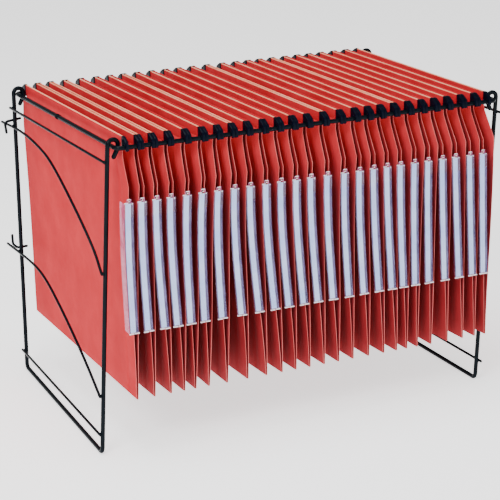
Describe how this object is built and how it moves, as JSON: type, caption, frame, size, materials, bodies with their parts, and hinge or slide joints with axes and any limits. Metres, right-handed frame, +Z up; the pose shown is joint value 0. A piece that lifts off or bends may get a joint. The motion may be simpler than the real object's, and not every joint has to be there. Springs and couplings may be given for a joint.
{
  "type": "hanging file rack",
  "caption": "Free-standing wire rack for lateral hanging files, with two hinged end frames and a run of linked red pockets.",
  "frame": {"origin": "bottom centre of the whole rack's box, on the surface it stands on", "axes": "+Z up, +X along the rails towards the right end frame, +Y from the front rail to the back rail"},
  "size_m": [0.5482, 0.3792, 0.3807],
  "materials": {
    "wire": "gloss black coated steel wire",
    "hanger": "satin black moulded plastic",
    "board": "matt red file board",
    "hem": "pale board edge folded over the hanger bar",
    "label_holder": "clear flexible plastic channel",
    "label_paper": "white paper strip"
  },
  "bodies": {
    "rails": {"top_rail_loop": "wire"},
    "files": {"hanger_01": "hanger", "hanger_02": "hanger", "hanger_03": "hanger", "hanger_04": "hanger", "hanger_05": "hanger", "hanger_06": "hanger", "hanger_07": "hanger", "hanger_08": "hanger", "hanger_09": "hanger", "hanger_10": "hanger", "hanger_11": "hanger", "hanger_12": "hanger", "hanger_13": "hanger", "hanger_14": "hanger", "hanger_15": "hanger", "hanger_16": "hanger", "hanger_17": "hanger", "hanger_18": "hanger", "hanger_19": "hanger", "hanger_20": "hanger", "hanger_21": "hanger", "hanger_22": "hanger", "hanger_23": "hanger", "hanger_24": "hanger", "hanger_25": "hanger", "hanger_26": "hanger", "file_01": "board", "file_02": "board", "file_03": "board", "file_04": "board", "file_05": "board", "file_06": "board", "file_07": "board", "file_08": "board", "file_09": "board", "file_10": "board", "file_11": "board", "file_12": "board", "file_13": "board", "file_14": "board", "file_15": "board", "file_16": "board", "file_17": "board", "file_18": "board", "file_19": "board", "file_20": "board", "file_21": "board", "file_22": "board", "file_23": "board", "file_24": "board", "file_25": "board"},
    "left_frame": {"left_end_frame": "wire", "left_upper_arc": "wire", "left_lower_arc": "wire", "left_upper_link_hook": "wire", "left_lower_link_hook": "wire"},
    "right_frame": {"right_end_frame": "wire", "right_upper_arc": "wire", "right_lower_arc": "wire"}
  },
  "joints": [
    {"name": "files_slide", "type": "slide", "parent": "rails", "child": "files", "axis": [1, 0, 0], "range_m": [-0.0005, 0.0008]},
    {"name": "left_frame_fold", "type": "hinge", "parent": "rails", "child": "left_frame", "pos_m": [-0.24387, 0, 0.36877], "axis": [0, 1, 0], "range_deg": [-2.5, 10]},
    {"name": "right_frame_fold", "type": "hinge", "parent": "rails", "child": "right_frame", "pos_m": [0.26313, 0, 0.36877], "axis": [0, -1, 0], "range_deg": [0, 10]}
  ]
}
